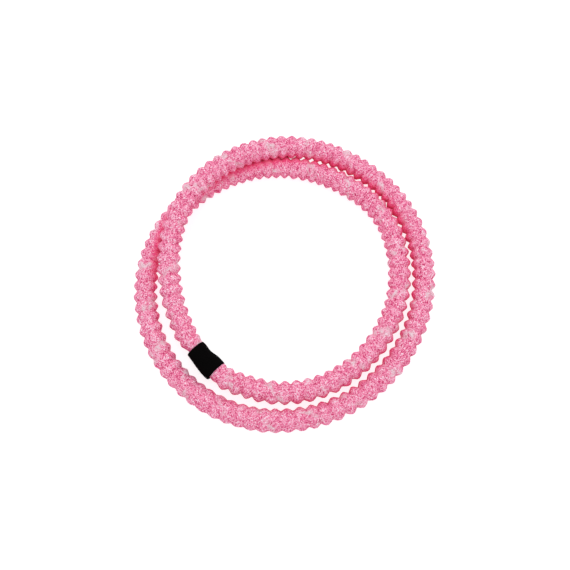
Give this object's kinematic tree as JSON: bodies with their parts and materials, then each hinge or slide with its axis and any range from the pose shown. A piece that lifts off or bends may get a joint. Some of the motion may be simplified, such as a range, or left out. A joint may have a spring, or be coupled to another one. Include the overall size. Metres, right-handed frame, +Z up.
{
  "type": "rhythmic hoop",
  "caption": "Soft folding exercise hoop coiled flat: knitted pink sleeve over a waved foam tube and a spring core, its ends joined under a black band.",
  "frame": {"origin": "middle of the folded hoop's outline, on the surface that it lies on", "axes": "+Z up out of the folded hoop; +X from the middle to the right of the crossing, which is at 130 degrees from +X, counter-clockwise seen from above"},
  "size_m": [0.5199, 0.5152, 0.0793],
  "materials": {
    "knit_sleeve": "matte",
    "foam": "matte",
    "spring_steel": "satin",
    "plated_steel": "satin",
    "elastic_cord": "matte",
    "band_elastic": "matte",
    "band_thread": "matte"
  },
  "bodies": {
    "outer_loop": {"sleeve_outer_loop": "knit_sleeve", "foam_outer_loop": "foam", "spring_outer_loop": "spring_steel", "sleeve_under_bend": "knit_sleeve", "foam_under_bend": "foam", "spring_under_bend": "spring_steel", "sleeve_over_bend": "knit_sleeve", "foam_over_bend": "foam", "spring_over_bend": "spring_steel"},
    "inner_loop": {"sleeve_inner_loop_long": "knit_sleeve", "foam_inner_loop_long": "foam", "spring_inner_loop_long": "spring_steel", "sleeve_inner_loop_short": "knit_sleeve", "foam_inner_loop_short": "foam", "spring_inner_loop_short": "spring_steel", "ferrule_plug_end": "plated_steel", "ferrule_socket_end": "plated_steel", "connector_plug": "plated_steel", "connector_socket": "plated_steel", "hem_cord_plug_end": "elastic_cord", "hem_cord_socket_end": "elastic_cord", "joint_band": "band_elastic", "band_seam": "band_thread"}
  },
  "joints": [
    {"name": "fold", "type": "hinge", "parent": "outer_loop", "child": "inner_loop", "pos_m": [-0.09082, 0.17687, 0.03975], "axis": [-0.8651, -0.5015, 0], "range_deg": [0, 178], "deforming": ["sleeve_under_bend", "foam_under_bend", "spring_under_bend", "sleeve_over_bend", "foam_over_bend", "spring_over_bend"]}
  ]
}
